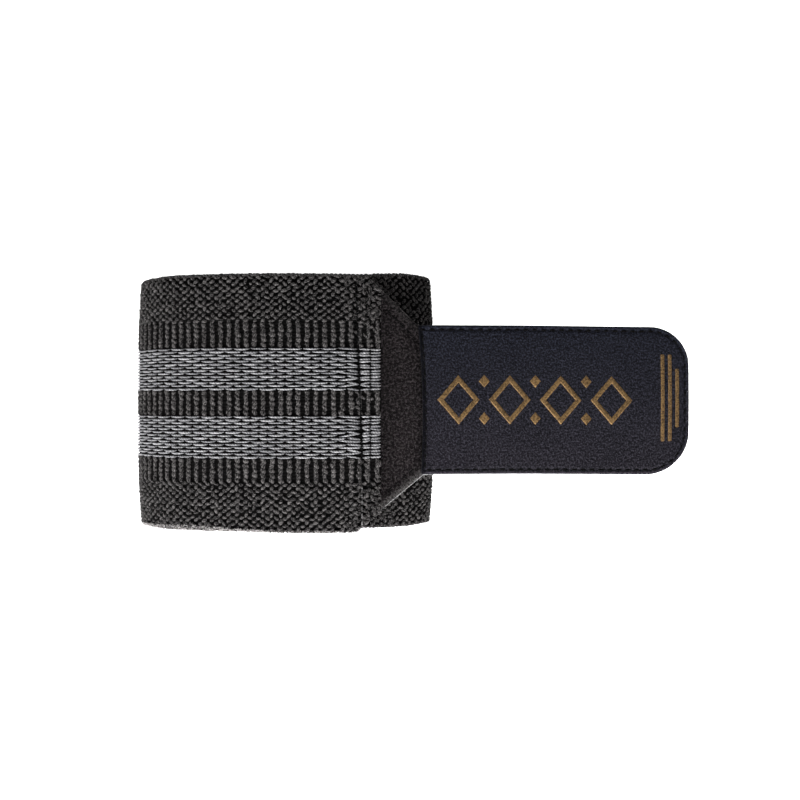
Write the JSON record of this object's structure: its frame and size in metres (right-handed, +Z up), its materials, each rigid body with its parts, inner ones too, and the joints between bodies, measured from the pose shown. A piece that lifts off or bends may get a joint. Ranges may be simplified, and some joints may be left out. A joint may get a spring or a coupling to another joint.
{
  "type": "wrist wrap",
  "caption": "Rolled elastic wrist wrap for lifting, lying on its side, with a tapered end panel and a stitched leather closure tab with a hook pad beneath.",
  "frame": {"origin": "on the table under the middle of the whole piece: the bottom centre of its box", "axes": "+X from the roll towards the tip of the closure tab, +Y across the band's width, +Z up from the table"},
  "size_m": [0.1764, 0.08, 0.0376],
  "materials": {
    "elastic": "charcoal black ribbed elastic webbing with two grey woven stripes",
    "panel": "dark charcoal brushed loop cloth with folded hems",
    "tab_leather": "black microfibre leather with a fine speckled grain",
    "hook_tape": "black hook tape",
    "foil": "dull gold foil film"
  },
  "bodies": {
    "root": {"elastic_band": "elastic", "end_panel": "panel", "closure_tab": "tab_leather", "hook_pad": "hook_tape", "foil_bar_1": "foil", "foil_bar_2": "foil", "foil_bar_3": "foil", "foil_lozenge_1": "foil", "foil_lozenge_2": "foil", "foil_lozenge_3": "foil", "foil_lozenge_4": "foil", "foil_stud_upper_1": "foil", "foil_stud_lower_1": "foil", "foil_stud_upper_2": "foil", "foil_stud_lower_2": "foil", "foil_stud_upper_3": "foil", "foil_stud_lower_3": "foil"}
  },
  "joints": []
}
